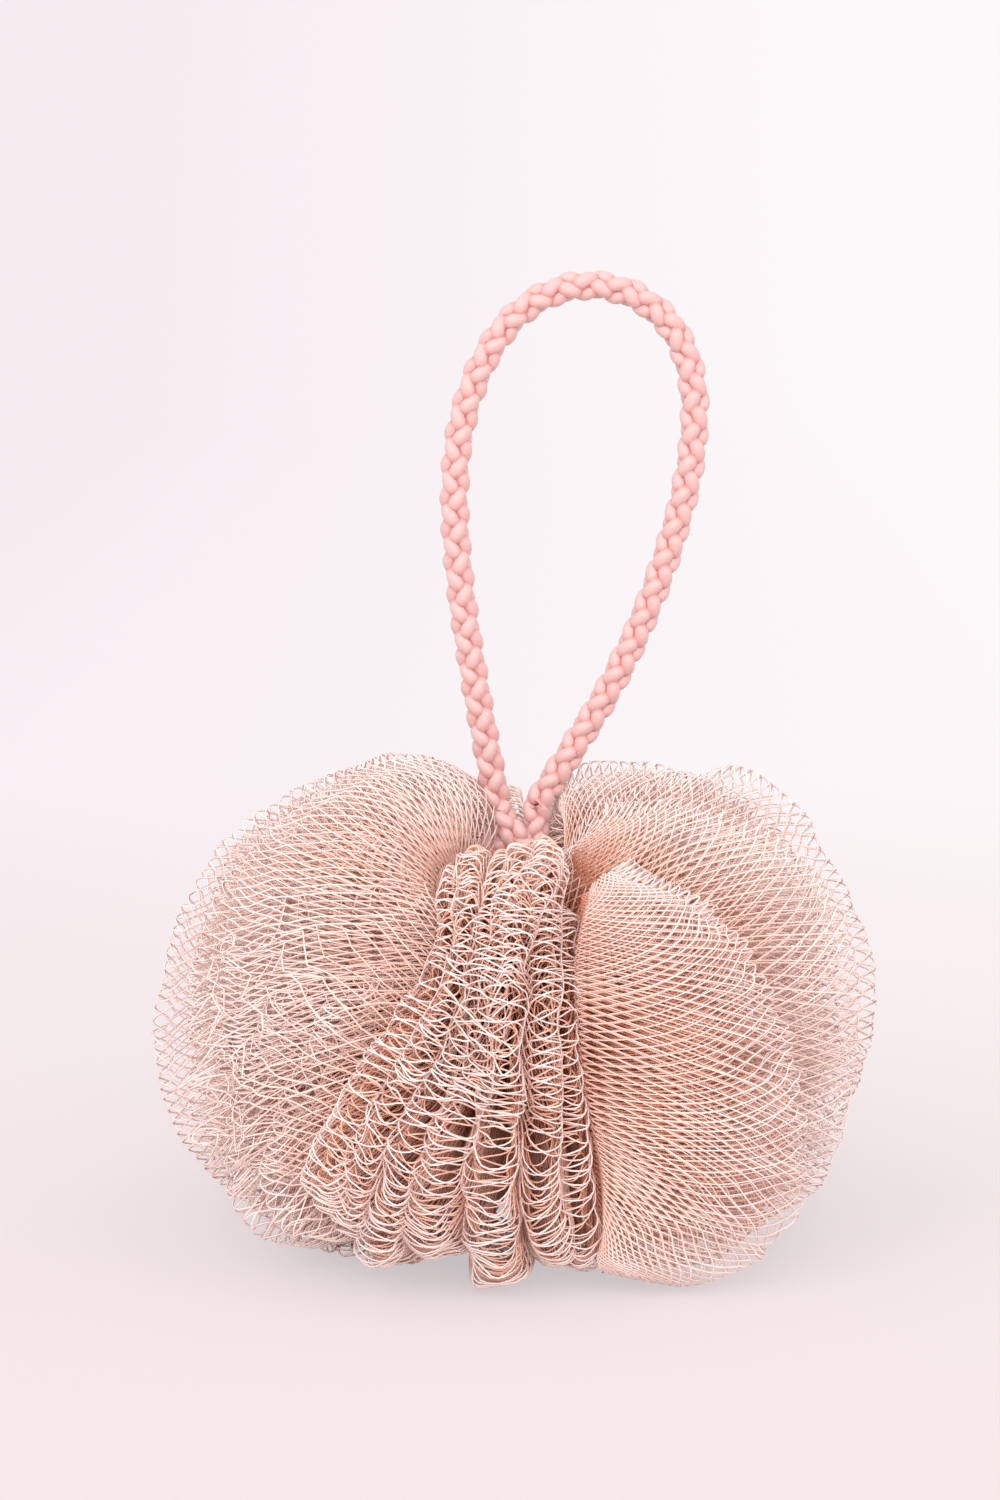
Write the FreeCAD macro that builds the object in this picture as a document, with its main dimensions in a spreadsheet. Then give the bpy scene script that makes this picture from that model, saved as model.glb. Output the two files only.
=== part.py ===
"""A netting bath puff on a braided hanging loop, in millimetres.

Four lengths of tubular plastic netting are gathered into pleats round an upright core.
A thin tie cord is wound round the gathered waist. One braided rope makes the hanging loop,
is knotted at the neck, and runs down through the core to a stopper knot.
The origin is on the floor under the core, +Z up, with -Y at the front.
"""
import FreeCAD, Part
import math
import os

import Sketcher

os.makedirs("parts", exist_ok=True)
doc = FreeCAD.newDocument("bath_puff")
V = FreeCAD.Vector

# ---------------------------------------------------------------- driving dimensions
SIZES = {
    # the gathered netting; the lobes are the two big bulges at the sides
    "lobe_reach": 75.0,
    "lobe_top": 98.0,
    "lobe_crown": 24.7,
    "lobe_span": 109.0,
    "lobe_pleats": 12,
    "fan_reach": 60.0,
    "fan_top": 88.0,
    "fan_crown": 15.0,
    "fan_span": 69.0,
    "fan_pleats": 8,
    # shared by the four lengths
    "bore_radius": 8.6,
    "bore_low": 33.0,
    "bore_high": 76.0,
    "mouth_radius": 14.0,
    "dimple_radius": 22.0,
    "valley_root": 32.0,
    "valley_gape": 3.2,
    # the space round the waist where the tie cord lies
    "waist_inner": 9.8,
    "waist_outer": 17.0,
    "waist_low": 55.0,
    "waist_high": 64.0,
    # tie cord, as the outer shape of its windings, and its knot
    "winding_inner": 10.2,
    "winding_outer": 11.8,
    "winding_low": 55.8,
    "winding_length": 7.2,
    "tie_knot_out": 14.3,
    "tie_knot_height": 60.0,
    "tie_knot_heading": -62.0,
    "tie_knot_long": 2.6,
    "tie_knot_thick": 2.1,
    # braided rope
    "rope_diameter": 6.0,
    "neck_height": 82.0,
    "neck_knot_radius": 5.4,
    "neck_knot_half_width": 8.0,
    "tail_offset": 3.1,
    "tail_low": 44.0,
    "tail_top": 76.2,
    "stopper_height": 41.0,
    "stopper_half_height": 6.2,
    "stopper_radius": 7.6,
}

# The rope's hanging loop, from the neck knot up, round and back: chosen by hand.
LOOP_ROUTE = [
    (-3.4, 0.0, 88.3),
    (-5.4, -0.8, 99.0),
    (-8.6, -1.6, 117.0),
    (-11.4, -1.8, 135.5),
    (-12.6, -1.2, 153.5),
    (-11.2, -0.4, 168.0),
    (-6.4, 0.6, 181.2),
    (1.0, 1.4, 190.9),
    (12.0, 1.8, 195.8),
    (23.6, 1.6, 194.2),
    (32.6, 0.9, 186.6),
    (36.4, 0.0, 174.8),
    (35.8, -0.9, 160.5),
    (32.0, -1.2, 144.5),
    (26.4, -0.8, 128.5),
    (19.6, 0.0, 113.8),
    (11.8, 0.6, 100.8),
    (4.5, 0.0, 89.4),
]

sheet = doc.addObject("Spreadsheet::Sheet", "Sheet")
for row, (alias, value) in enumerate(SIZES.items(), start=1):
    sheet.set(f"A{row}", alias)
    sheet.set(f"B{row}", str(value))
    sheet.setAlias(f"B{row}", alias)
doc.recompute()


def size(alias):
    """The sheet's value for code that works on shapes directly."""
    return float(sheet.get(alias))


# ---------------------------------------------------------------- gathered netting
def origin_plane(body, role):
    return next(f for f in body.Origin.OriginFeatures if f.Role == role)


def new_sketch(body, name, role):
    sketch = body.newObject("Sketcher::SketchObject", name)
    sketch.AttachmentSupport = [(origin_plane(body, role), "")]
    sketch.MapMode = "FlatFace"
    return sketch


def bind(sketch, kind, *where, name, formula, guess):
    """Adds one named dimension to a sketch and binds it to the sheet."""
    index = sketch.addConstraint(Sketcher.Constraint(kind, *where, guess))
    sketch.renameConstraint(index, name)
    sketch.setExpression(f"Constraints.{name}", formula)


def place(sketch, line, end, name, across, up):
    """Fixes a line's end at two named distances from the sketch's origin."""
    for kind, tag, formula in (("DistanceX", "across", across), ("DistanceY", "up", up)):
        if formula == "0":
            on_axis = Sketcher.Constraint("PointOnObject", line, end, -1)
            sketch.addConstraint(on_axis)
        elif formula:
            guess = size(formula.removeprefix("Sheet."))
            where = (-1, 1, line, end)
            bind(sketch, kind, *where, name=f"{name}_{tag}", formula=formula, guess=guess)


def pleat_outline(body, label, kind):
    """Half of a pleat seen from the side: bore, funnel, round back, flat foot and dimple,
    with an inner rectangle for the tie cord."""
    sketch = new_sketch(body, f"{label}_outline", "XZ_Plane")
    reach, top, crown = size(f"{kind}_reach"), size(f"{kind}_top"), size(f"{kind}_crown")
    bore, mouth, dimple = size("bore_radius"), size("mouth_radius"), size("dimple_radius")
    radius = reach - crown
    middle = top - radius
    mouth_up = middle + math.sqrt(radius**2 - (crown - mouth) ** 2)
    foot = crown + math.sqrt(radius**2 - middle**2)
    low = V(bore, size("bore_low"), 0)
    high = V(bore, size("bore_high"), 0)
    lip = V(mouth, mouth_up, 0)
    toe = V(foot, 0, 0)
    heel = V(dimple, 0, 0)
    sketch.addGeometry(Part.LineSegment(low, high))
    sketch.addGeometry(Part.LineSegment(high, lip))
    start = math.atan2(-middle, foot - crown)
    end = math.atan2(mouth_up - middle, mouth - crown)
    circle = Part.Circle(V(crown, middle, 0), V(0, 0, 1), radius)
    sketch.addGeometry(Part.ArcOfCircle(circle, start, end))
    sketch.addGeometry(Part.LineSegment(toe, heel))
    sketch.addGeometry(Part.LineSegment(heel, low))
    joins = ((0, 2, 1, 1), (1, 2, 2, 2), (2, 1, 3, 1), (3, 2, 4, 1), (4, 2, 0, 1))
    for join in joins:
        sketch.addConstraint(Sketcher.Constraint("Coincident", *join))
    place(sketch, 0, 1, "bore_low", "Sheet.bore_radius", "Sheet.bore_low")
    place(sketch, 0, 2, "bore_high", "Sheet.bore_radius", "Sheet.bore_high")
    place(sketch, 1, 2, "mouth", "Sheet.mouth_radius", None)
    place(sketch, 2, 3, "crown", f"Sheet.{kind}_crown", None)
    rise = f"Sheet.{kind}_top - (Sheet.{kind}_reach - Sheet.{kind}_crown)"
    bind(sketch, "DistanceY", -1, 1, 2, 3, name="crown_up", formula=rise, guess=middle)
    back = f"Sheet.{kind}_reach - Sheet.{kind}_crown"
    bind(sketch, "Radius", 2, name="back", formula=back, guess=radius)
    place(sketch, 3, 1, "toe", None, "0")
    place(sketch, 3, 2, "heel", "Sheet.dimple_radius", "0")

    corners = [
        ("inner", "low"),
        ("outer", "low"),
        ("outer", "high"),
        ("inner", "high"),
    ]
    at = [V(size(f"waist_{a}"), size(f"waist_{b}"), 0) for a, b in corners]
    for n in range(4):
        sketch.addGeometry(Part.LineSegment(at[n], at[(n + 1) % 4]))
    for n, (a, b) in enumerate(corners):
        before = 5 + (n - 1) % 4
        sketch.addConstraint(Sketcher.Constraint("Coincident", before, 2, 5 + n, 1))
        place(sketch, 5 + n, 1, f"waist_{a}_{b}", f"Sheet.waist_{a}", f"Sheet.waist_{b}")
    return sketch


def pleat_valley(body, label, kind):
    """The wedge between two neighbouring pleats, seen from above, at the first valley."""
    sketch = new_sketch(body, f"{label}_valley", "XY_Plane")
    root, gape = size("valley_root"), size("valley_gape")
    reach = size(f"{kind}_reach")
    at = [V(root, 0, 0), V(reach, -gape / 2, 0), V(reach, gape / 2, 0)]
    for n in range(3):
        sketch.addGeometry(Part.LineSegment(at[n], at[(n + 1) % 3]))
    for n in range(3):
        sketch.addConstraint(Sketcher.Constraint("Coincident", n, 2, (n + 1) % 3, 1))
    sketch.addConstraint(Sketcher.Constraint("PointOnObject", 0, 1, -1))
    sketch.addConstraint(Sketcher.Constraint("Symmetric", 1, 1, 1, 2, -1))
    bind(sketch, "DistanceX", -1, 1, 0, 1, name="root", formula="Sheet.valley_root", guess=root)
    edge = f"Sheet.{kind}_reach"
    bind(sketch, "DistanceX", -1, 1, 1, 1, name="edge", formula=edge, guess=reach)
    bind(sketch, "Distance", 1, name="gape", formula="Sheet.valley_gape", guess=gape)
    step = f"Sheet.{kind}_span / Sheet.{kind}_pleats"
    sketch.setExpression("AttachmentOffset.Rotation.Angle", f"{step} - Sheet.{kind}_span / 2")
    return sketch


def netting_length(label, kind, heading):
    """One gathered length of netting: a sector of the puff, pleated round the core."""
    body = doc.addObject("PartDesign::Body", label)
    body.Label = label
    fan = body.newObject("PartDesign::Revolution", f"{label}_fan")
    outline = pleat_outline(body, label, kind)
    fan.Profile = outline
    fan.ReferenceAxis = (outline, ["V_Axis"])
    fan.Midplane = True
    fan.setExpression("Angle", f"Sheet.{kind}_span")
    doc.recompute()
    whole = fan.Shape.Volume

    valley = body.newObject("PartDesign::Pocket", f"{label}_valleys")
    valley.Profile = pleat_valley(body, label, kind)
    valley.Type = "ThroughAll"
    valley.Midplane = True
    doc.recompute()
    one_less = valley.Shape.Volume
    if one_less >= whole - 1:
        raise RuntimeError(f"{label}: the valley cut nothing")

    pattern = body.newObject("PartDesign::PolarPattern", f"{label}_pleats")
    pattern.Originals = [valley]
    pattern.Axis = (valley.Profile[0], ["N_Axis"])
    valleys = f"Sheet.{kind}_pleats - 1"
    pattern.setExpression("Occurrences", valleys)
    step = f"Sheet.{kind}_span / Sheet.{kind}_pleats"
    pattern.setExpression("Angle", f"({valleys} - 1) * {step}")
    body.Tip = pattern
    doc.recompute()
    cut = (whole - pattern.Shape.Volume) / (whole - one_less)
    print(f"{label}: {cut:.2f} valleys cut, {pattern.Shape.Volume / 1000:.1f} cm3")
    body.Placement = FreeCAD.Placement(V(), FreeCAD.Rotation(V(0, 0, 1), heading))
    return body


# ---------------------------------------------------------------- tie cord
def tie_cord():
    """The windings of the tie cord, as the sleeve that they fill."""
    outer = doc.addObject("Part::Cylinder", "winding_outside")
    inner = doc.addObject("Part::Cylinder", "winding_inside")
    for cylinder, radius in ((outer, "winding_outer"), (inner, "winding_inner")):
        cylinder.setExpression("Radius", f"Sheet.{radius}")
        cylinder.setExpression("Height", "Sheet.winding_length")
    cord = doc.addObject("Part::Cut", "tie_cord")
    cord.Base = outer
    cord.Tool = inner
    cord.setExpression("Placement.Base.z", "Sheet.winding_low")
    return cord


def tie_knot():
    """The flattened knot that ends the tie cord, lying against the windings."""
    knot = doc.addObject("Part::Ellipsoid", "tie_knot")
    knot.setExpression("Radius1", "Sheet.tie_knot_long")
    knot.setExpression("Radius2", "Sheet.tie_knot_thick")
    knot.setExpression("Radius3", "Sheet.tie_knot_long")
    heading = "Sheet.tie_knot_heading * 1 deg"
    knot.setExpression("Placement.Base.x", f"Sheet.tie_knot_out * cos({heading})")
    knot.setExpression("Placement.Base.y", f"Sheet.tie_knot_out * sin({heading})")
    knot.setExpression("Placement.Base.z", "Sheet.tie_knot_height")
    knot.setExpression("Placement.Rotation.Angle", heading)
    return knot


# ---------------------------------------------------------------- braided rope
def rope_path(points):
    """Straight runs joined by tangent arcs as large as their two runs allow."""
    edges, start, radii = [], points[0], []
    for before, at, after in zip(points, points[1:], points[2:]):
        back = (before - at).normalize()
        ahead = (after - at).normalize()
        half_turn = (math.pi - back.getAngle(ahead)) / 2
        cut = 0.45 * min((before - at).Length, (after - at).Length)
        radius = cut / math.tan(half_turn)
        radii.append(radius)
        enter, leave = at + back * cut, at + ahead * cut
        inward = (back + ahead).normalize()
        middle = at + inward * (radius / math.cos(half_turn) - radius)
        edges.append(Part.LineSegment(start, enter).toShape())
        edges.append(Part.Arc(enter, middle, leave).toShape())
        start = leave
    edges.append(Part.LineSegment(start, points[-1]).toShape())
    print("rope arcs, mm:", " ".join(f"{radius:.1f}" for radius in radii))
    return Part.Wire(edges)


def rope_loop():
    """The hanging loop, a plain tube swept along its route."""
    route = [V(*point) for point in LOOP_ROUTE]
    path = doc.addObject("Part::Feature", "loop_path")
    path.Shape = rope_path(route)
    section = doc.addObject("Part::Circle", "loop_section")
    section.setExpression("Radius", "Sheet.rope_diameter / 2")
    along = route[1] - route[0]
    section.Placement = FreeCAD.Placement(route[0], FreeCAD.Rotation(V(0, 0, 1), along))
    loop = doc.addObject("Part::Sweep", "rope_loop")
    loop.Sections = [section]
    loop.Spine = (path, [f"Edge{n + 1}" for n in range(len(path.Shape.Edges))])
    loop.Solid = True
    doc.recompute()
    length = path.Shape.Length
    expected = math.pi * size("rope_diameter") ** 2 / 4 * length
    share = loop.Shape.Volume / expected
    print(f"rope loop: {length:.1f} mm long, volume / (section x length) = {share:.4f}")
    return loop


def rope_neck_knot():
    """The rope's knot at the neck. It is round about X, the axis the loop tilts on."""
    knot = doc.addObject("Part::Ellipsoid", "rope_neck_knot")
    knot.setExpression("Radius1", "Sheet.neck_knot_radius")
    knot.setExpression("Radius2", "Sheet.neck_knot_half_width")
    knot.setExpression("Radius3", "Sheet.neck_knot_radius")
    knot.setExpression("Placement.Base.z", "Sheet.neck_height")
    return knot


def rope_tail(label, side):
    """One of the rope's two tails, down through the core into the stopper knot."""
    tail = doc.addObject("Part::Cylinder", label)
    tail.setExpression("Radius", "Sheet.rope_diameter / 2")
    tail.setExpression("Height", "Sheet.tail_top - Sheet.tail_low")
    tail.setExpression("Placement.Base.x", f"{side} * Sheet.tail_offset")
    tail.setExpression("Placement.Base.z", "Sheet.tail_low")
    return tail


def rope_stopper_knot():
    """The knot that keeps the tails from pulling up through the gathered netting."""
    knot = doc.addObject("Part::Ellipsoid", "rope_stopper_knot")
    knot.setExpression("Radius1", "Sheet.stopper_half_height")
    knot.setExpression("Radius2", "Sheet.stopper_radius")
    knot.setExpression("Radius3", "Sheet.stopper_radius")
    knot.setExpression("Placement.Base.z", "Sheet.stopper_height")
    return knot


# ---------------------------------------------------------------- assembly
parts = [
    netting_length("netting_right", "lobe", 0),
    netting_length("netting_back", "fan", 90),
    netting_length("netting_left", "lobe", 180),
    netting_length("netting_front", "fan", 270),
    tie_cord(),
    tie_knot(),
    rope_tail("rope_tail_left", -1),
    rope_tail("rope_tail_right", 1),
    rope_stopper_knot(),
    rope_neck_knot(),
    rope_loop(),
]
doc.recompute()

for item in doc.Objects:
    if {"Invalid", "Error"} & set(item.State):
        raise RuntimeError(f"{item.Name}: {item.State}")
for part in parts:
    if part.Shape.isNull() or not part.Shape.isValid():
        raise RuntimeError(f"{part.Label}: bad shape")
for part in parts:
    part.Shape.exportStep(f"parts/{part.Label}.step")
    box = part.Shape.BoundBox
    print(f"{part.Label}: z {box.ZMin:.2f} to {box.ZMax:.2f}, {part.Shape.Volume / 1000:.2f} cm3")
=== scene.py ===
"""A bath puff with its hanging loop: gathered netting round a tied core, and a braided rope.

Every length is in metres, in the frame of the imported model: the puff's base is at z = 0 and the
viewer stands on the -Y side.
"""
import itertools
import math

import bmesh
import bpy
import numpy as np
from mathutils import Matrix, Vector


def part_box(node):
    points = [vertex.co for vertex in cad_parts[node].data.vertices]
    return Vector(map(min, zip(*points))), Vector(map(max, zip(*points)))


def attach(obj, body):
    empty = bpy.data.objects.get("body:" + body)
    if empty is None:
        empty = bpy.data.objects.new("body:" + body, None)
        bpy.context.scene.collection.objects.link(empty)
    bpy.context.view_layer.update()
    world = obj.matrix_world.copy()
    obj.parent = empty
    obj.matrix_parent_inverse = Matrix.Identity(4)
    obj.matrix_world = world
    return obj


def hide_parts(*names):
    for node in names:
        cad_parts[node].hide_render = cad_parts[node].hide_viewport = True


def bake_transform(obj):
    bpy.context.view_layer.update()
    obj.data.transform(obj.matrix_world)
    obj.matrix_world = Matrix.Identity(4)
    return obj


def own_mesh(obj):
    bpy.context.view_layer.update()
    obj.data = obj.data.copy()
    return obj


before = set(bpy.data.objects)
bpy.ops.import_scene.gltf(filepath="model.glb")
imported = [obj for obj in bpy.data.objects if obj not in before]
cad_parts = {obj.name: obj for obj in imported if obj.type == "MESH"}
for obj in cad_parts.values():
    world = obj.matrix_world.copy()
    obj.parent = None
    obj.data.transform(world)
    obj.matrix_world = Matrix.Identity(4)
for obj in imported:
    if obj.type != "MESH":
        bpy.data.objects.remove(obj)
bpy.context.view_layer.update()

MM = 0.001


# ---- Camera ------------------------------------------------------------------------------------
# A portrait lens at the height of a table top's front edge, looking ten degrees down on the puff.
# It is level and unshifted, and far enough off that the puff's lobes aren't stretched.
CAMERA_ELEVATION = math.radians(10)
CAMERA_DISTANCE = 0.726
CAMERA_AIM = Vector((-3.1 * MM, 0, 100.7 * MM))

camera_data = bpy.data.cameras.new("camera")
camera_data.lens = 85
camera_data.sensor_width = 36
camera = bpy.data.objects.new("camera", camera_data)
camera.location = CAMERA_AIM + CAMERA_DISTANCE * Vector(
    (0, -math.cos(CAMERA_ELEVATION), math.sin(CAMERA_ELEVATION))
)
camera.rotation_euler = (math.pi / 2 - CAMERA_ELEVATION, 0, 0)
bpy.context.collection.objects.link(camera)
bpy.context.scene.camera = camera


# ---- Hanging loop ------------------------------------------------------------------------------
# A 6 mm rope of six satin polyester strands, plaited as a round braid: three turn to the left and
# three to the right, each over one and under the next. It leaves the puff's top as two legs,
# which stand up on their own and meet in a soft bow about a hand's width above it.
LOOP_ROUTE = [
    (-3.4, 0, 88.3), (-5.4, -0.8, 99), (-8.6, -1.6, 117), (-11.4, -1.8, 135.5), (-12.6, -1.2, 153.5),
    (-11.2, -0.4, 168), (-6.4, 0.6, 181.2), (1, 1.4, 190.9), (12, 1.8, 195.8), (23.6, 1.6, 194.2),
    (32.6, 0.9, 186.6), (36.4, 0, 174.8), (35.8, -0.9, 160.5), (32, -1.2, 144.5), (26.4, -0.8, 128.5),
    (19.6, 0, 113.8), (11.8, 0.6, 100.8), (4.5, 0, 89.4),
]
BRAID_STRANDS = 6
BRAID_LAY = 19.5 * MM          # the length in which a strand goes once round the rope
STRAND_CIRCLE = 1.30 * MM      # from the rope's middle to a strand's middle
STRAND_WEAVE = 0.36 * MM       # how far a strand rises as it passes over, and sinks under
STRAND_RADIUS = 1.28 * MM
STRAND_LINGER = 0.6            # below 1, a strand stays on top for longer than it takes to cross
STRAND_SWELL = 0.16            # how much plumper a strand is where it is on top
STRAND_STEP = 0.6 * MM
FILAMENT_SCALE = (6, 130, 1)   # how fine the yarn's filaments are, along the strands and round them


def linear(hex_colour):
    """A colour written as sRGB hex, as the linear values that a shader takes."""
    values = [int(hex_colour[i:i + 2], 16) / 255 for i in (0, 2, 4)]
    return [v / 12.92 if v <= 0.04045 else ((v + 0.055) / 1.055) ** 2.4 for v in values] + [1]


def node(material, kind, settings=None, **links):
    """Adds a node with its settings, and links or sets each named input (spaces as underscores)."""
    tree = material.node_tree
    made = tree.nodes.new(kind)
    for name, value in (settings or {}).items():
        setattr(made, name, value)
    for name, value in links.items():
        socket = made.inputs[int(name[1:]) if name[1:].isdigit() else name.replace("_", " ")]
        if isinstance(value, bpy.types.NodeSocket):
            tree.links.new(value, socket)
        else:
            socket.default_value = value
    return made


def new_material(name):
    material = bpy.data.materials.new(name)
    material.use_nodes = True
    return material, material.node_tree.nodes["Principled BSDF"]


def spline_line(name, route):
    """The places along a NURBS spline that has the route's points as its control points."""
    curve = bpy.data.curves.new(name, "CURVE")
    curve.dimensions = "3D"
    curve.resolution_u = 24
    spline = curve.splines.new("NURBS")
    spline.points.add(len(route) - 1)
    for point, place in zip(spline.points, route):
        point.co = (*(MM * value for value in place), 1)
    spline.order_u = 3
    spline.use_endpoint_u = True
    carrier = bpy.data.objects.new(name, curve)
    mesh = bpy.data.meshes.new_from_object(carrier)
    line = np.array([vertex.co for vertex in mesh.vertices])
    bpy.data.objects.remove(carrier)
    bpy.data.curves.remove(curve)
    bpy.data.meshes.remove(mesh)
    return line


def evenly(line, step):
    """A line's places again, an equal step apart, and how far along the line each one is."""
    steps = np.linalg.norm(np.diff(line, axis=0), axis=1)
    along = np.concatenate([[0], np.cumsum(steps)])
    stations = np.linspace(0, along[-1], max(3, round(along[-1] / step) + 1))
    return np.stack([np.interp(stations, along, line[:, i]) for i in range(3)], 1), stations


def frames(line):
    """Two directions across a line at each of its places, which turn with it and never twist."""
    ahead = np.gradient(line, axis=0)
    ahead /= np.linalg.norm(ahead, axis=1)[:, None]
    side = np.cross(ahead[0], (0.1, 1, 0.2))
    sides = []
    for direction in ahead:
        side = side - direction * side.dot(direction)
        side = side / np.linalg.norm(side)
        sides.append(side)
    sides = np.array(sides)
    return sides, np.cross(ahead, sides)


def strands_mesh(name, lines, radius, corners, tubes=None):
    """A mesh of round strands that follow lines of places; their ends are open, as cut."""
    curve = bpy.data.curves.new(name, "CURVE")
    curve.dimensions = "3D"
    curve.use_fill_caps = False
    profile_curve = bpy.data.curves.new(name + "_profile", "CURVE")
    profile_curve.dimensions = "2D"
    ring = profile_curve.splines.new("POLY")
    ring.points.add(corners - 1)
    for i, point in enumerate(ring.points):
        turn = -math.tau * i / corners      # clockwise, so that the strand's faces point outwards
        point.co = (radius * math.cos(turn), radius * math.sin(turn), 0, 1)
    ring.use_cyclic_u = True
    profile = bpy.data.objects.new(name + "_profile", profile_curve)
    curve.bevel_mode = "OBJECT"
    curve.bevel_object = profile
    swell = np.ones(sum(len(line) for line in lines)) if tubes is None else np.concatenate(tubes)
    first = 0
    for line in lines:
        spline = curve.splines.new("POLY")
        spline.points.add(len(line) - 1)
        spline.points.foreach_set("co", np.column_stack([line, np.ones(len(line))]).ravel())
        spline.points.foreach_set("radius", swell[first:first + len(line)])
        first += len(line)
    carrier = bpy.data.objects.new(name, curve)
    bpy.context.collection.objects.link(carrier)
    depsgraph = bpy.context.evaluated_depsgraph_get()
    mesh = bpy.data.meshes.new_from_object(carrier.evaluated_get(depsgraph))
    mesh.name = name
    for used, data in ((carrier, curve), (profile, profile_curve)):
        bpy.data.objects.remove(used)
        bpy.data.curves.remove(data)
    return mesh


def lay_out(mesh, lines, corners):
    """Gives strands a UV map, across it along each strand and up it round each strand in turn."""
    along = np.concatenate([np.linspace(0, 1, len(line)) for line in lines])
    strand = np.concatenate([np.full(len(line), i) for i, line in enumerate(lines)])
    corner_vertex = np.empty(len(mesh.loops), int)
    mesh.loops.foreach_get("vertex_index", corner_vertex)
    ring, turn = corner_vertex // corners, corner_vertex % corners
    quads = turn.reshape(-1, 4)
    wraps = (quads.max(1) == corners - 1) & (quads.min(1) == 0)
    turn = np.where(np.repeat(wraps, 4) & (turn == 0), corners, turn)
    uv = mesh.uv_layers.new(name="OFBake")
    while len(mesh.uv_layers) > 1:
        mesh.uv_layers.remove(mesh.uv_layers[0])
        uv = mesh.uv_layers[0]
    uv.name = "OFBake"
    # Each strand has a strip of the map to itself, with a narrow gap on both sides of it.
    up = (strand[ring] + 0.02 + 0.96 * turn / corners) / len(lines)
    uv.data.foreach_set("uv", np.column_stack([along[ring], up]).ravel())


def mark_depth(mesh, depths, corners):
    """Notes on every ring of a strand how deep it lies, from 0 on the outside to 1; the rope's and the
    netting's colours paint shade from it.
    """
    attribute = mesh.attributes.new("depth", "FLOAT", "POINT")
    attribute.data.foreach_set("value", np.repeat(np.concatenate(depths), corners))


def add_piece(name, mesh, material):
    piece = bpy.data.objects.new(name, mesh)
    bpy.context.collection.objects.link(piece)
    mesh.materials.clear()
    mesh.materials.append(material)
    return piece


def braid(name, line, material, phase=0.0, step=STRAND_STEP, corners=8):
    """A round braid along a line, as one piece."""
    line, along = evenly(line, step)
    side, up = frames(line)
    lines, swells, sunk = [], [], []
    per_hand = BRAID_STRANDS // 2
    for hand in (1, -1):
        for i in range(per_hand):
            turn = hand * math.tau * along / BRAID_LAY + math.tau * i / per_hand + phase
            # A strand meets each strand of the other hand twice in a lay, once over and once under.
            over = np.cos(math.tau * along / BRAID_LAY * per_hand) * hand
            over = np.sign(over) * np.abs(over) ** STRAND_LINGER
            reach = STRAND_CIRCLE + STRAND_WEAVE * over
            across = np.cos(turn)[:, None] * side + np.sin(turn)[:, None] * up
            lines.append(line + reach[:, None] * across)
            swells.append(1 + STRAND_SWELL * over)
            # How far under its neighbours a strand lies, which the satin's colour turns into painted
            # shade.
            sunk.append(0.5 - 0.5 * over)
    mesh = strands_mesh(name, lines, STRAND_RADIUS, corners, swells)
    lay_out(mesh, lines, corners)
    mark_depth(mesh, sunk, corners)
    return add_piece(name, mesh, material)


# Satin polyester yarn, with the fine parallel filaments of an untwisted strand. Its colour holds
# painted shade:
# pale pink on the strands that lie on top, and a painted shade of warmer, deeper pink where a strand
# sinks under the next.
rope_satin, shader = new_material("rope_satin_polyester")
strand_map = node(rope_satin, "ShaderNodeUVMap", {"uv_map": "OFBake"}).outputs[0]
fine = node(rope_satin, "ShaderNodeMapping", Vector=strand_map,
            Scale=FILAMENT_SCALE).outputs[0]
filaments = node(rope_satin, "ShaderNodeTexNoise", Vector=fine, Scale=1.0, Detail=3.0).outputs[0]
# Painted shade: the further under a strand lies, the deeper and warmer its pink.
sunk_share = node(rope_satin, "ShaderNodeAttribute", {"attribute_name": "depth"}).outputs["Fac"]
shade = node(rope_satin, "ShaderNodeMath", {"operation": "MULTIPLY_ADD"}, _0=filaments, _1=-0.35,
             _2=sunk_share).outputs[0]
filament_and_painted_shade_tint = node(rope_satin, "ShaderNodeValToRGB", Fac=shade)
filament_and_painted_shade_tint.color_ramp.elements[0].position, filament_and_painted_shade_tint.color_ramp.elements[1].position = 0.0, 0.75
filament_and_painted_shade_tint.color_ramp.elements[0].color = linear("DDB4B1")
filament_and_painted_shade_tint.color_ramp.elements[1].color = linear("CB746D")
bump = node(rope_satin, "ShaderNodeBump", Height=filaments, Strength=0.35, Distance=0.1 * MM)
rope_satin.node_tree.links.new(filament_and_painted_shade_tint.outputs[0], shader.inputs["Base Color"])
rope_satin.node_tree.links.new(bump.outputs[0], shader.inputs["Normal"])
shader.inputs["Roughness"].default_value = 0.38
shader.inputs["IOR"].default_value = 1.52
shader.inputs["Sheen Weight"].default_value = 0.25
shader.inputs["Sheen Roughness"].default_value = 0.4

loop_line = spline_line("loop_line", LOOP_ROUTE)
loop = braid("rope_loop_braid", loop_line, rope_satin)
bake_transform(loop)
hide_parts("rope_loop")


# ---- Knot under the loop, and the tails inside --------------------------------------------------
# Both legs of the rope pass through one overhand knot where they enter the puff. Their ends run
# down through the core and are knotted together below it, so that a pull can't draw them out.
KNOT_ROUTE = [
    (-3.4, 0, 88.8), (-2.6, -1.4, 86), (0.6, -2.6, 82.6), (4.6, -1.4, 80.2), (5, 1.6, 81),
    (1, 2.5, 83), (-4.2, 1.6, 82), (-5, -0.6, 80), (-1, -2.4, 79.8), (3.6, -1.4, 81.4),
    (4.4, 0.2, 85), (4.5, 0, 89.8),
]
knot_line = spline_line("knot_line", KNOT_ROUTE)
knot = braid("rope_neck_knot_braid", knot_line, rope_satin, phase=0.4)
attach(knot, "neck")
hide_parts("rope_neck_knot")

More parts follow.
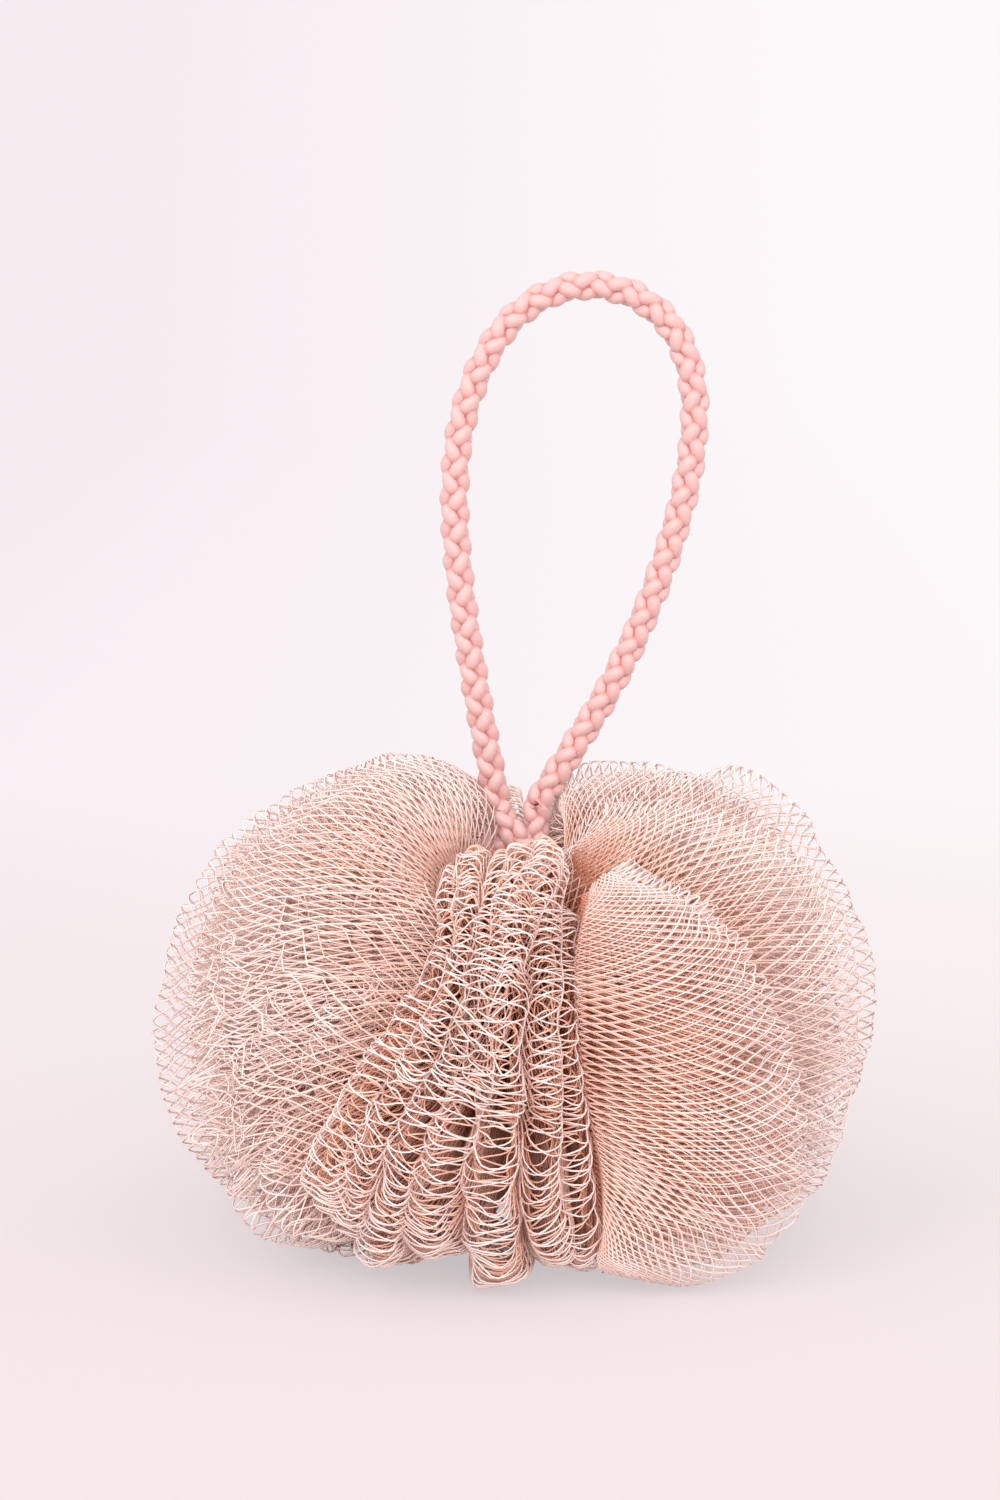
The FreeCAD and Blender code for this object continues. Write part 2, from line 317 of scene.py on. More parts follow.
for side_name in ("left", "right"):
    low, high = (Vector(corner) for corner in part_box(f"rope_tail_{side_name}"))
    middle = (low + high) / 2
    tail_line = np.linspace((middle.x, middle.y, low.z), (middle.x, middle.y, high.z), 20)
    tail = braid(f"rope_tail_{side_name}_braid", tail_line, rope_satin, step=1.2 * MM, corners=6)
    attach(tail, "core")
    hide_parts(f"rope_tail_{side_name}")

knot_turn = np.linspace(0, math.tau, 96)
low, high = (Vector(corner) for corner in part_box("rope_stopper_knot"))
middle, reach = (low + high) / 2, (high - low) / 2
stopper_line = np.column_stack([
    middle.x + (reach.x - 3 * MM) * np.sin(knot_turn),
    middle.y + (reach.y - 3 * MM) * np.cos(knot_turn),
    middle.z + (reach.z - 3.2 * MM) * np.sin(2 * knot_turn),
])
stopper = braid("rope_stopper_knot_braid", stopper_line, rope_satin, step=1.0 * MM, corners=6)
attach(stopper, "core")
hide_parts("rope_stopper_knot")


# ---- Tie cord ----------------------------------------------------------------------------------
# A thin nylon cord wound round the waist of the gathered netting and pulled tight, which is all
# that holds the folds together. Its knot sits at the front of the waist, deep in the netting.
low, high = (Vector(corner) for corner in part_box("tie_cord"))
TIE_TURNS = 4
TIE_RADIUS = 0.8 * MM
TIE_CORNERS = 8
tie_turn = np.linspace(0, math.tau * TIE_TURNS, 64 * TIE_TURNS)
tie_circle = (high.x - low.x) / 2 - TIE_RADIUS
tie_line = np.column_stack([
    tie_circle * np.cos(tie_turn),
    tie_circle * np.sin(tie_turn),
    np.linspace(low.z + TIE_RADIUS, high.z - TIE_RADIUS, len(tie_turn)),
])
tie_nylon, shader = new_material("tie_cord_nylon")
tie_spots = node(tie_nylon, "ShaderNodeTexNoise", Scale=1 / (1.5 * MM), Detail=2.0,
                 Vector=node(tie_nylon, "ShaderNodeTexCoord").outputs["Object"]).outputs[0]
tie_tint = node(tie_nylon, "ShaderNodeValToRGB", Fac=tie_spots)
tie_tint.color_ramp.elements[0].color = linear("E9C9C0")
tie_tint.color_ramp.elements[1].color = linear("F6E4DE")
tie_nylon.node_tree.links.new(tie_tint.outputs[0], shader.inputs["Base Color"])
shader.inputs["Roughness"].default_value = 0.45
shader.inputs["IOR"].default_value = 1.53

tie_mesh = strands_mesh("tie_cord_winding", [tie_line], TIE_RADIUS, TIE_CORNERS)
lay_out(tie_mesh, [tie_line], TIE_CORNERS)
tie = add_piece("tie_cord_winding", tie_mesh, tie_nylon)
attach(tie, "core")
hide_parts("tie_cord")

low, high = (Vector(corner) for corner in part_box("tie_knot"))
middle, reach = (low + high) / 2, (high - low) / 2
knot_line = np.column_stack([
    middle.x + (reach.x - TIE_RADIUS) * (np.sin(knot_turn) + 2 * np.sin(2 * knot_turn)) / 3,
    middle.y + (reach.y - TIE_RADIUS) * (np.cos(knot_turn) - 2 * np.cos(2 * knot_turn)) / 3,
    middle.z - (reach.z - TIE_RADIUS) * np.sin(3 * knot_turn),
])
knot_mesh = strands_mesh("tie_knot_bight", [knot_line], TIE_RADIUS, TIE_CORNERS)
lay_out(knot_mesh, [knot_line], TIE_CORNERS)
tie_knot = add_piece("tie_knot_bight", knot_mesh, tie_nylon)
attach(tie_knot, "core")
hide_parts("tie_knot")


# ---- Netting -----------------------------------------------------------------------------------
# One long tube of knotless polyethylene net, flattened and gathered into leaves that stand out
# from the tied core. In each leaf the tube's strands run round it in two sets of opposed spirals,
# fused where they cross, so a leaf's edge shows as a row of small round loops.
NET_THREAD = 0.40 * MM
NET_CORNERS = 3
ENDS_CROWD = 0.3               # how much closer the strands lie where the tube is gathered
ARCH_REACH = 0.045             # how far round from the crest the strands arch up
FLOOR_GAP = 0.3 * MM
LEAVES_IN_PIECE = 4
FOLD = 0.034                   # the share of the way round that half of each rounded edge takes
CREST_MOST = 0.3               # a crest's half thickness is at most this share of the leaf's depth
HEM_MOST = 0.1                 # the same for the inner fold
ENDS_SHARE = 0.18              # the share of a leaf's length at each end over which it opens out
FLARED_BY = 0.85               # the share of the way down by which a leaf has all its flare
SLACK_WAVES = (2.3, 4.1, 7.5)  # how long the waves of slack along a crest are, in mm a radian
CRUMPLE = 1.1 * MM             # how far a fully crumpled net strays
CRUMPLE_SEED = 11              # the same for every leaf, so that neighbours crumple together
STRAND_SEED = 500              # added to a leaf's own seed, for its single strands


def smooth_line(points, count=240):
    """A smooth line through a few points (mm), as places an equal step apart, and its length."""
    places = np.array(points, float) * MM
    places = np.vstack([2 * places[0] - places[1], places, 2 * places[-1] - places[-2]])
    stations = np.linspace(0, len(places) - 3 - 1e-6, count * 4)
    span = stations.astype(int)
    f = (stations - span)[:, None]
    # A Catmull-Rom spline: each span runs from b to c, and leaves them as a and d say.
    a, b, c, d = (places[span + i] for i in range(4))
    line = 0.5 * (2 * b + (c - a) * f + (2 * a - 5 * b + 4 * c - d) * f ** 2
                  + (3 * b - a - 3 * c + d) * f ** 3)
    along = np.concatenate([[0], np.cumsum(np.linalg.norm(np.diff(line, axis=0), axis=1))])
    even = np.linspace(0, along[-1], count)
    return np.stack([np.interp(even, along, line[:, i]) for i in range(3)], 1), along[-1]


def waves(places, size, length, seed, count=7):
    """A soft, uneven push at each place: a sum of waves of about one length, in all directions."""
    draw = np.random.default_rng(seed)
    push = np.zeros_like(places)
    for _ in range(count):
        heading = draw.normal(size=3)
        heading *= math.tau / (length * draw.uniform(0.75, 1.5) * np.linalg.norm(heading))
        push += draw.normal(size=3) * np.sin(places @ heading + draw.uniform(0, math.tau))[:, None]
    return push * size / math.sqrt(count)


def round_stations():
    """Places round the tube, as shares of the way round: close together where it folds."""
    half = np.concatenate([
        np.linspace(0, FOLD, 5, endpoint=False),       # the outer fold, at the crest
        np.linspace(FOLD, 0.28, 9, endpoint=False),    # the part of a face that shows
        np.linspace(0.28, 0.5 - FOLD, 4, endpoint=False),
        np.linspace(0.5 - FOLD, 0.5, 2),               # the inner fold
    ])
    return np.unique(np.round(np.concatenate([0.5 - half, 0.5 + half[1:-1]]), 5))


STATIONS = round_stations()


def winding(hand, begin, turns):
    """A strand on its way round the tube: how often it has been round, and the turns it has made."""
    laps = range(math.ceil(turns) + 2)
    if hand > 0:
        whole = np.concatenate([STATIONS + lap for lap in laps])
    else:
        whole = np.concatenate([STATIONS[::-1] - lap for lap in laps]) + 1
    travelled = (whole - begin) * hand
    kept = (travelled >= 0) & (travelled <= turns)
    return whole[kept], travelled[kept]


def cross_section(from_crest, depth, crest_half, hem_half, crowd, belly):
    """Across a leaf: how far out from its inner edge a strand lies, and how far off its middle."""
    fold_out = np.clip(from_crest / FOLD, 0, 1) * np.pi / 2
    fold_in = np.clip((0.5 - from_crest) / FOLD, 0, 1) * np.pi / 2
    flat = np.clip((from_crest - FOLD) / (0.5 - 2 * FOLD), 0, 1) ** crowd
    reach = (1 - flat) * (depth - crest_half) + flat * hem_half
    reach += crest_half * np.cos(fold_out) - hem_half * np.cos(fold_in)
    half = (crest_half + (hem_half - crest_half) * flat) * np.sin(fold_out)
    half = (half + belly * MM * np.sin(np.pi * flat)) * np.sin(fold_in)
    return reach, half


def bowed(share, inside, centre, outer):
    """What lies a share of the way along the bow from inside to outer, which leans to centre."""
    return (1 - share) ** 2 * inside + 2 * share * (1 - share) * centre + share ** 2 * outer


class Leaf:
    """The strands of one leaf, as lines of places, with how deep in the puff each place is.

    crest and inner are a few points (mm) along its outer and inner edge, from top to bottom. bend
    pushes the leaf's middle sideways, bow lifts the strands where they pass over the crest, gape is
    half its thickness near the crest, flare how much more that is at the bottom, gape_ends the same
    at its open ends, hem half the thickness of its inner fold, and belly is how much further its
    two faces stand apart half-way. rumple is how crumpled it is, in waves rumple_length long.
    wiggle (mm) is how uneven the single strands are, in waves wiggle_length long. sunk is how deep
    in the puff the crest lies and deepest how much deeper the inner edge does, as shares; the netting's
    colour paints a warmer shade from them.
    strands is how many strands each of the two sets has, pitch (mm) how far apart they cross along
    the tube, and crowd, where above 1, makes the net looser and its holes rounder at the crest.
    """

    def __init__(self, crest, inner, bend=0.0, gape=2.5, gape_ends=5.0, hem=0.6, belly=2.0,
                 bow=0.7, seed=0, rumple=1.0, rumple_length=26, deepest=1.0, strands=16, pitch=2.3,
                 crowd=1.25, wiggle=0.45, wiggle_length=10, sunk=0.0, flare=0.0):
        self.lines, self.depths = [], []
        outer_line, length = smooth_line(crest)
        inner_line, _ = smooth_line(inner)
        shares = np.linspace(0, 1, len(outer_line))
        across = np.cross(np.gradient(outer_line, axis=0), outer_line - inner_line)
        across /= np.linalg.norm(across, axis=1)[:, None]
        swing = bend * MM * np.sin(np.pi * shares)[:, None]
        middle_line = (outer_line + inner_line) / 2 + across * swing
        edges = [inner_line, middle_line, outer_line]
        slopes = [np.gradient(line, axis=0) for line in edges]
        turns = length / (strands * pitch * MM)
        draw = np.random.default_rng(seed)
        phase = draw.uniform(0, 1 / strands)
        slack = draw.uniform(0, math.tau, len(SLACK_WAVES))
        for hand, strand in itertools.product((1, -1), range(strands)):
            whole, travelled = winding(hand, strand / strands + phase, turns)
            from_crest = np.abs(whole % 1 - 0.5)
            down = travelled / turns
            down = down - ENDS_CROWD * np.sin(math.tau * down) / math.tau
            # The slack in the strands gathers along the crest, more in some places than others.
            uneven = sum(np.sin(down * length / (wave * MM) + turn)
                         for wave, turn in zip(SLACK_WAVES, slack)) / len(SLACK_WAVES)
            arch = np.exp(-(from_crest / ARCH_REACH) ** 2)
            down = np.clip(down - bow * MM / length * (1 + uneven) * arch, 0, 1)

            inside, centre, outer = (self.at(line, shares, down) for line in edges)
            depth = np.linalg.norm(outer - inside, axis=1)
            ends = np.clip(1 - np.minimum(down, 1 - down) / ENDS_SHARE, 0, 1) ** 2
            near_crest = gape + flare * np.clip(down / FLARED_BY, 0, 1) ** 2
            crest_half = near_crest + (gape_ends - near_crest) * ends
            crest_half = np.minimum(crest_half * MM, depth * CREST_MOST)
            hem_half = np.minimum(hem * MM, depth * HEM_MOST)
            reach, half = cross_section(from_crest, depth, crest_half, hem_half, crowd, belly)

            out_share = np.clip(reach / depth, 0, 1)[:, None]
            place = bowed(out_share, inside, centre, outer)
            downward = bowed(out_share, *(self.at(slope, shares, down) for slope in slopes))
            outward = (1 - out_share) * (centre - inside) + out_share * (outer - centre)
            normal = np.cross(downward, outward)
            normal /= np.maximum(np.linalg.norm(normal, axis=1), 1e-12)[:, None]
            side = np.where(whole % 1 < 0.5, 1.0, -1.0)
            place = place + normal * (side * half)[:, None]

            free = out_share ** 1.5 * rumple
            place = place + free * waves(place, CRUMPLE, rumple_length * MM, CRUMPLE_SEED)
            place = place + free * waves(place, wiggle * MM, wiggle_length * MM, STRAND_SEED + seed)
            place[:, 2] = np.maximum(place[:, 2], FLOOR_GAP)
            self.lines.append(place)
            # How deep each place lies, which the netting's colour turns into painted shade and painted
            # bounce light.
            self.depths.append(sunk + (1 - out_share[:, 0]) * deepest)

    @staticmethod
    def at(line, shares, down):
        """A line's places, each a share of the way down it."""
        return np.stack([np.interp(down, shares, line[:, i]) for i in range(3)], 1)


# The outline of a leaf as it stands out from the core: how far out (mm) and how high, from the
# top of its crest to the bottom. The lobes at left and right reach further than the two fans.
LOBE_CREST = [(10, 70), (13, 84), (22, 93), (38, 96.5), (55, 89), (68, 74), (74, 52), (72, 29),
              (62, 12), (46, 2.5), (28, 1.2), (14, 8), (11, 24)]
FAN_CREST = [(10, 66), (14, 78), (24, 86), (36, 86), (48, 77), (57, 60), (59.5, 42), (56, 23),
             (47, 8), (35, 1.5), (20, 2), (11, 12)]
INNER_EDGE = [(9, 66), (9.3, 50), (9, 36)]


def standing(outline, heading, reach=1.0, height=1.0, turn=0.0):
    """An outline's points, stood at a heading in degrees, which turns on the way down."""
    angles = np.radians(heading + turn * np.linspace(-0.5, 0.5, len(outline)))
    return [(r * reach * math.cos(angle), r * reach * math.sin(angle), z * height)
            for (r, z), angle in zip(outline, angles)]


def filler(outline, heading, reach, height, turn=0.0, **shape):
    """A leaf that stands straight out from the core."""
    return Leaf(standing(outline, heading, reach, height, turn),
                standing(INNER_EDGE, heading, height=min(1.0, height + 0.1)), **shape)


def petal(crest, **shape):
    """A leaf whose crest is given where it shows; it comes out of the core above and below that."""
    first, last = crest[0], crest[-1]
    middle = crest[len(crest) // 2]
    heading = math.degrees(math.atan2(middle[1], middle[0]))
    start = [(0.3 * first[0], 0.3 * first[1], first[2] - 16),
             (0.62 * first[0], 0.62 * first[1], first[2] - 2.5)]
    end = [(0.72 * last[0], 0.72 * last[1], max(last[2] - 4, 1)),
           (0.35 * last[0], 0.35 * last[1], max(last[2] + 2, 8))]
    shape = {"bow": 1.5, "gape": 2.6, **shape}
    return Leaf(start + list(crest) + end, standing(INNER_EDGE, heading), **shape)


def drawn_in(crest, inset):
    """The same crest, moved in towards the core, for a leaf that lies inside another one."""
    shares = [1 - inset / math.hypot(x, y) for x, y, _ in crest]
    return [(x * share, y * share, z) for (x, y, z), share in zip(crest, shares)]


# The leaves, lobe by lobe. The outermost leaf of each side lobe stands alone past its neighbours,
# so that its loops show one by one against the light.
FRINGE = {"strands": 20, "pitch": 2.2, "crowd": 1.4, "rumple": 0.8}
DENSE = {"strands": 12, "pitch": 1.7}
CRUMPLED = {"rumple": 1.8, "rumple_length": 13, "wiggle": 0.9, "wiggle_length": 7, "sunk": 0.15}
OPEN = {"rumple": 1.2, "wiggle": 0.6, "wiggle_length": 8, "strands": 12}
left_leaves = [
    Leaf([(-10, 2, 72), (-9.5, 4, 91), (-15, 4, 98.5), (-24, 3, 99.5), (-44, 2, 93), (-60.5, 1, 80),
          (-71.5, 0, 63.3), (-75, 0, 48.7), (-74, -1, 32), (-67.5, -2, 15.5), (-54.3, -3, 2.5),
          (-34, -4, 0.8), (-15, -2, 6)], standing(INNER_EDGE, 180), bend=3, seed=1, **FRINGE),
    Leaf([(-9, 16, 74), (-11, 9, 85), (-14.5, 3, 96), (-25, -3, 97), (-38, -8, 93), (-50, -14, 84),
          (-57, -20, 71), (-59, -26, 54), (-56, -30, 38)],
         [(-7, 8, 67), (-10, -2, 75), (-13, -12, 79), (-16, -20, 77), (-14, -25, 66), (-15, -28, 52)],
         bend=-18, seed=2, hem=1.0, rumple=0.8, deepest=0.2, **DENSE),
    Leaf([(-12, 3, 93), (-25, -1, 94), (-40, -5, 90), (-53, -11, 81), (-60, -17, 67),
          (-61.5, -23, 50), (-58, -27, 34)],
         [(-16, -15, 76), (-14, -19, 71), (-12, -23, 61), (-14, -25, 48)], bend=-14, seed=15,
         hem=1.0, rumple=0.8, sunk=0.15, deepest=0.3, **DENSE),
    petal([(-46, -34, 58), (-54, -34, 46.4), (-57.2, -32, 35), (-58.4, -34, 26.4),
           (-57.8, -35, 18.6), (-55, -35, 12), (-49, -36, 8.2)], bend=-4, seed=3, rumple=0.8),
    petal([(-34, -40, 58), (-40, -42, 47.8), (-47.2, -42, 35), (-49, -44, 26.2), (-49.6, -45, 20.4),
           (-47.2, -46, 13.9), (-42, -47, 11.6)], bend=-4, seed=4, rumple=0.8),
    Leaf([(-30, -16, 80), (-50, -20, 72), (-60, -25, 58), (-62, -28, 44), (-60, -32, 30),
          (-52, -37, 18)],
         [(-14, -24, 74), (-15, -32, 62), (-20, -40, 50), (-28, -43, 38), (-34, -42, 28)],
         bend=-13, seed=16, rumple=1.6, rumple_length=12, deepest=0.3, strands=14, pitch=3.2,
         crowd=1.0, bow=1.2, wiggle=1.3, wiggle_length=7),
    filler(LOBE_CREST, 199, 0.86, 0.72, bend=-6, seed=5, **CRUMPLED),
    filler(LOBE_CREST, 208, 0.84, 0.64, bend=6, seed=6, **CRUMPLED),
    filler(LOBE_CREST, 219, 0.78, 0.64, bend=-6, seed=7, **CRUMPLED),
    filler(LOBE_CREST, 230, 0.74, 0.66, bend=6, seed=8, **CRUMPLED),
    filler(LOBE_CREST, 190, 0.92, 0.93, turn=6, bend=3, seed=9),
    filler(LOBE_CREST, 171, 0.93, 0.96, turn=-5, bend=-4, seed=10),
    filler(LOBE_CREST, 161, 0.94, 0.94, turn=8, bend=4, seed=11),
    filler(LOBE_CREST, 151, 0.96, 0.96, turn=-6, bend=-3, seed=12),
    filler(LOBE_CREST, 141, 0.94, 0.93, turn=5, bend=4, seed=13),
    filler(LOBE_CREST, 131, 0.93, 0.96, turn=-4, bend=-2, seed=14),
]
right_leaves = [
    Leaf([(10, 2, 72), (9.5, 3, 90), (15, 4, 96.5), (27, 5, 97), (36, 5, 94.5), (46, 3, 96),
          (58.4, 2, 88), (68.7, 1, 71.6), (74.4, 0, 57), (74.6, -1, 44), (70.7, -2, 28),
          (64.6, -3, 15), (57, -5, 7), (40, -6, 1.5), (15, -4, 6)],
         standing(INNER_EDGE, 0), bend=-3, seed=21, **FRINGE),
    Leaf([(21.5, -40, 86), (38, -40, 76.5), (50, -38, 60), (56.4, -36, 35), (56.4, -38, 16.5),
          (50, -40, 8), (34, -44, 4), (15.4, -45, 3.5)],
         [(14.4, -38, 80), (11.3, -40, 64), (12.9, -44, 43), (16.4, -46, 25), (17.4, -46, 10)],
         bend=16, hem=1.4, belly=1.0, seed=22, rumple=0.9, wiggle=0.6, deepest=0.3, pitch=2.2, bow=0.5),
    Leaf([(19, -34, 82), (36, -35, 74), (47, -33, 58), (54, -31, 36), (54, -33, 18),
          (47, -35, 9), (32, -38, 5), (15, -38, 5)],
         [(13, -30, 76), (11, -32, 60), (12, -36, 43), (15, -38, 25), (16, -38, 11)],
         bend=12, hem=1.4, belly=1.0, seed=33, rumple=0.9, sunk=0.3, deepest=0.4, pitch=2.1,
         bow=0.4),
    Leaf([(17.4, -20, 93), (38, -20, 94), (56.4, -20, 83.8), (66.6, -20, 67.1), (69.7, -20, 48.4),
          (66.6, -22, 29.7), (58.4, -24, 13), (40, -24, 3)],
         [(12, -14, 80), (13, -16, 62), (14, -18, 35), (15, -18, 18)], bend=20, seed=23,
         rumple=0.8, deepest=0.7),
    filler(LOBE_CREST, -44, 0.56, 0.86, bend=4, seed=24),
    filler(LOBE_CREST, -30, 0.72, 0.90, bend=-4, seed=25),
    filler(LOBE_CREST, -20, 0.88, 0.92, bend=4, seed=26),
    filler(LOBE_CREST, -9, 0.92, 0.93, turn=-6, bend=-3, seed=27),
    filler(LOBE_CREST, 9, 0.93, 0.98, turn=5, bend=4, seed=28),
    filler(LOBE_CREST, 19, 0.94, 0.95, turn=-8, bend=-4, seed=29),
    filler(LOBE_CREST, 29, 0.96, 0.97, turn=6, bend=3, seed=30),
    filler(LOBE_CREST, 39, 0.94, 0.94, turn=-5, bend=-4, seed=31),
    filler(LOBE_CREST, 49, 0.93, 0.96, turn=4, bend=2, seed=32),
]
PETALS = [
    [(-13.3, -28, 80.7), (-15.4, -38, 70), (-22.6, -50, 53.3), (-32.8, -56, 37.7), (-40.4, -54, 23.8),
     (-37.9, -50, 16.9)],
    [(-9.6, -30, 84.2), (-10.3, -42, 72.8), (-15.4, -52, 57.9), (-24.6, -57, 40), (-33.8, -55, 23),
     (-34.9, -51, 13.5)],
    [(-3.1, -32, 83.5), (-5.1, -44, 71), (-10.3, -54, 56.1), (-17.4, -59, 38.3), (-25.6, -56, 19),
     (-29.3, -52, 7.5)],
    [(1, -34, 85), (-2, -46, 71.3), (-6.2, -56, 56.5), (-11.3, -60, 38.5), (-16.4, -58, 21.5),
     (-18.5, -54, 9.3)],
    [(6.2, -33, 86.2), (1, -46, 73.5), (-2, -56, 58.6), (-4.1, -60, 40.5), (-6.2, -58, 21.5),
     (-5.1, -52, 3)],
    [(7.2, -32, 83), (6.2, -44, 71), (6.2, -53, 58.1), (6.2, -57, 42.1), (5.1, -55, 23),
     (8.2, -50, 7.6)],
    [(9.2, -34, 75.5), (9.6, -42, 64.4), (10.3, -50, 49.2), (11.7, -52, 34.9), (13.3, -50, 20),
     (14.4, -47, 5.5)],
]
front_leaves = [petal(crest, seed=41 + i, gape=2.3, flare=3.2, gape_ends=4, pitch=2.4, **OPEN)
                for i, crest in enumerate(PETALS)]
front_leaves += [petal(drawn_in(crest, 3.2), seed=51 + i, gape=1.2, flare=3.0, gape_ends=3, pitch=1.9,
                       sunk=0.4, **OPEN) for i, crest in enumerate(PETALS)]
back_leaves = [
    filler(FAN_CREST, heading, reach, height, turn=turn, bend=bend, seed=seed)
    for heading, reach, height, turn, bend, seed in (
        (120, 0.96, 1.0, 6, 3, 61), (110, 1.0, 1.02, -5, -3, 62), (100, 0.97, 0.98, 7, 4, 63),
        (90, 1.0, 1.0, -6, -3, 64), (80, 0.97, 0.98, 5, 4, 65), (70, 1.0, 1.01, -7, -4, 66),
        (60, 0.96, 0.98, 5, 3, 67),
    )
]

# Polyethylene monofilament, dyed peach: smooth and slightly waxy, in a tone that differs a little at
# random. Its colour holds painted shade and painted bounce light: pale on the outer strands, warmer and
# more orange on strands further inside the folds.
net_poly, shader = new_material("netting_polyethylene")
net_object = node(net_poly, "ShaderNodeTexCoord").outputs["Object"]
net_cloud = node(net_poly, "ShaderNodeTexNoise", Vector=net_object, Scale=1 / (22 * MM), Detail=2.0)
# Painted shade and bounce light: the deeper a strand lies in the puff, the warmer and more orange its
# colour.
net_depth = node(net_poly, "ShaderNodeAttribute", {"attribute_name": "depth"}).outputs["Fac"]
net_shade = node(net_poly, "ShaderNodeMath", {"operation": "MULTIPLY_ADD"}, _0=net_cloud.outputs[0],
                 _1=0.3, _2=net_depth)
net_tint = node(net_poly, "ShaderNodeValToRGB", Fac=net_shade.outputs[0])
net_tint.color_ramp.elements[0].position, net_tint.color_ramp.elements[1].position = 0.16, 0.75
net_tint.color_ramp.elements[0].color = linear("FCE9E4")
net_tint.color_ramp.elements[1].color = linear("FFC1A2")
net_poly.node_tree.links.new(net_tint.outputs[0], shader.inputs["Base Color"])
shader.inputs["Roughness"].default_value = 0.36
shader.inputs["IOR"].default_value = 1.51

for group, leaves in (("left", left_leaves), ("right", right_leaves), ("front", front_leaves),
                      ("back", back_leaves)):
    pieces = [leaves[i:i + LEAVES_IN_PIECE] for i in range(0, len(leaves), LEAVES_IN_PIECE)]
    for letter, some in zip("abcdefgh", pieces):
        name = f"netting_{group}_{letter}"
        lines = [line for one in some for line in one.lines]
        mesh = strands_mesh(name, lines, NET_THREAD / 2, NET_CORNERS)
        lay_out(mesh, lines, NET_CORNERS)
        mark_depth(mesh, [depth for one in some for depth in one.depths], NET_CORNERS)
        piece = add_piece(name, mesh, net_poly)
        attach(piece, "puff")
        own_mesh(piece)
        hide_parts(f"netting_{group}")


# ---- Floor, backdrop and light -------------------------------------------------------------------
# A pale sweep of paper that curves up behind the puff, lit by a large soft lamp from the upper
# left, one from the front, a weak one from the right, and an even surround.
SWEEP_HALF = 2.5
SWEEP_BACK = 2.4
SWEEP_CURVE = 0.5
SWEEP_TOP = 3.2
sweep = bmesh.new()
corner_places = [
    (-SWEEP_HALF, -SWEEP_HALF, 0),
    (-SWEEP_HALF, SWEEP_BACK, 0),
    (-SWEEP_HALF, SWEEP_BACK, SWEEP_TOP),
]
corner_vertices = [sweep.verts.new(place) for place in corner_places]
for pair in zip(corner_vertices, corner_vertices[1:]):
    sweep.edges.new(pair)
bmesh.ops.bevel(sweep, geom=[corner_vertices[1]], offset=SWEEP_CURVE, offset_type="OFFSET",
                segments=24, profile=0.5, affect="VERTICES", material=-1)
drawn = bmesh.ops.extrude_edge_only(sweep, edges=sweep.edges[:])
drawn_vertices = [item for item in drawn["geom"] if isinstance(item, bmesh.types.BMVert)]
bmesh.ops.translate(sweep, verts=drawn_vertices, vec=(2 * SWEEP_HALF, 0, 0))
bmesh.ops.recalc_face_normals(sweep, faces=sweep.faces[:])
sweep_mesh = bpy.data.meshes.new("paper_sweep")
sweep.to_mesh(sweep_mesh)
sweep.free()
for polygon in sweep_mesh.polygons:
    polygon.use_smooth = True

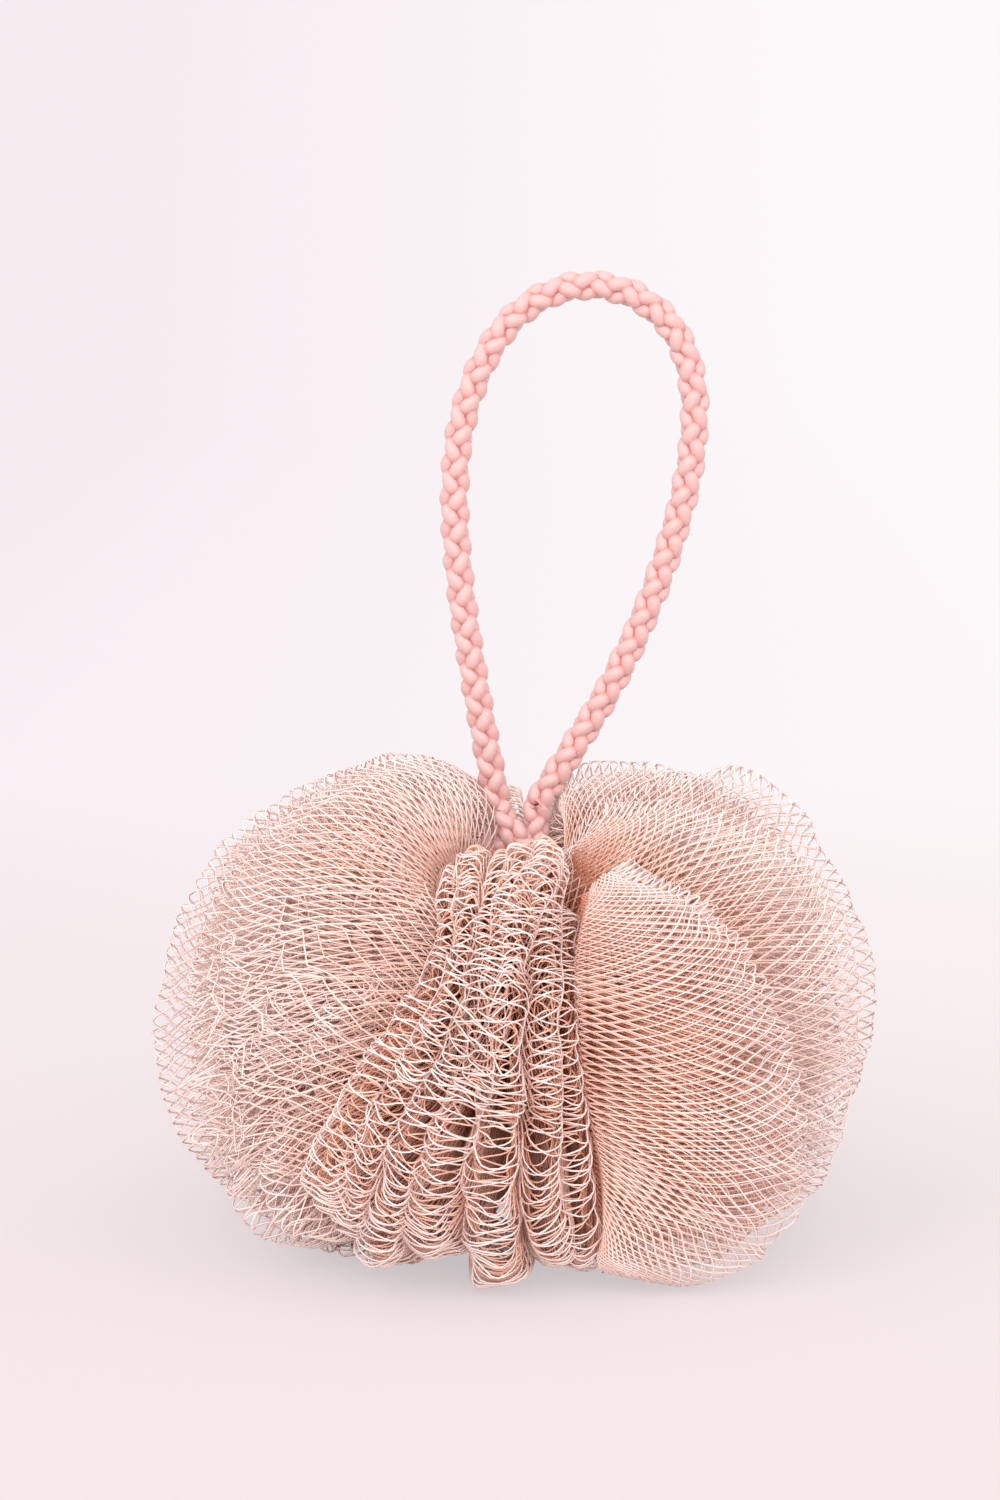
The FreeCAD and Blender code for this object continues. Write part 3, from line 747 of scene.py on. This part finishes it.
# Matt paper. Seen straight on or in a reflection, it glows a little more the further back it is,
# so that the horizon melts away while the shadow on the floor stays.
paper, shader = new_material("paper_matt_white")
shader.inputs["Base Color"].default_value = linear("D2C2C0")
shader.inputs["Roughness"].default_value = 0.9
rays = node(paper, "ShaderNodeLightPath").outputs
seen = node(paper, "ShaderNodeMath", {"operation": "ADD"}, _0=rays["Is Camera Ray"],
            _1=rays["Is Glossy Ray"]).outputs[0]
seen = node(paper, "ShaderNodeMath", {"operation": "ADD", "use_clamp": True}, _0=seen,
            _1=rays["Is Transmission Ray"]).outputs[0]
paper_place = node(paper, "ShaderNodeSeparateXYZ",
                   Vector=node(paper, "ShaderNodeTexCoord").outputs["Object"])
across_share = node(paper, "ShaderNodeMapRange", Value=paper_place.outputs["X"], From_Min=-0.3,
                    From_Max=0.25).outputs[0]
paper_tint = node(paper, "ShaderNodeValToRGB", Fac=across_share)
paper_tint.color_ramp.elements[0].color = linear("F7EEF3")
paper_tint.color_ramp.elements[1].color = linear("FEFBFC")
far_share = node(paper, "ShaderNodeMapRange", Value=paper_place.outputs["Y"], From_Min=-0.5,
                 From_Max=0.5, To_Min=0.2, To_Max=0.95).outputs[0]
glow_share = node(paper, "ShaderNodeMath", {"operation": "MULTIPLY"}, _0=seen, _1=far_share).outputs[0]
glow = node(paper, "ShaderNodeEmission", Color=paper_tint.outputs[0], Strength=1.0).outputs[0]
mixed = node(paper, "ShaderNodeMixShader", _0=glow_share, _1=shader.outputs[0], _2=glow).outputs[0]
paper.node_tree.links.new(mixed, paper.node_tree.nodes["Material Output"].inputs["Surface"])
add_piece("paper_sweep", sweep_mesh, paper)


def lamp(name, place, aim, size, power, colour):
    """A soft square lamp, size metres on a side and of a power in watts, turned to face aim."""
    data = bpy.data.lights.new(name, "AREA")
    data.size = size
    data.energy = power
    data.color = linear(colour)[:3]
    made = bpy.data.objects.new(name, data)
    made.location = place
    made.rotation_euler = (Vector(aim) - Vector(place)).to_track_quat("-Z", "Y").to_euler()
    bpy.context.collection.objects.link(made)


lamp("key_softbox", place=(-0.75, -0.75, 0.95), aim=(0, 0, 0.08), size=0.7, power=5.0,
     colour="FFFAF8")
lamp("front_softbox", place=(0.1, -1.5, 0.7), aim=(0, 0, 0.05), size=0.9, power=8.5,
     colour="FFFAF8")
lamp("fill_softbox", place=(0.9, -0.8, 0.7), aim=(0, 0, 0.08), size=1.0, power=2,
     colour="FFFAFA")

world = bpy.data.worlds.new("pale_surround")
world.use_nodes = True
surround = world.node_tree.nodes["Background"]
surround.inputs["Color"].default_value = linear("FFFAFA")
surround.inputs["Strength"].default_value = 1.1
bpy.context.scene.world = world
bpy.context.scene.view_settings.view_transform = "Standard"
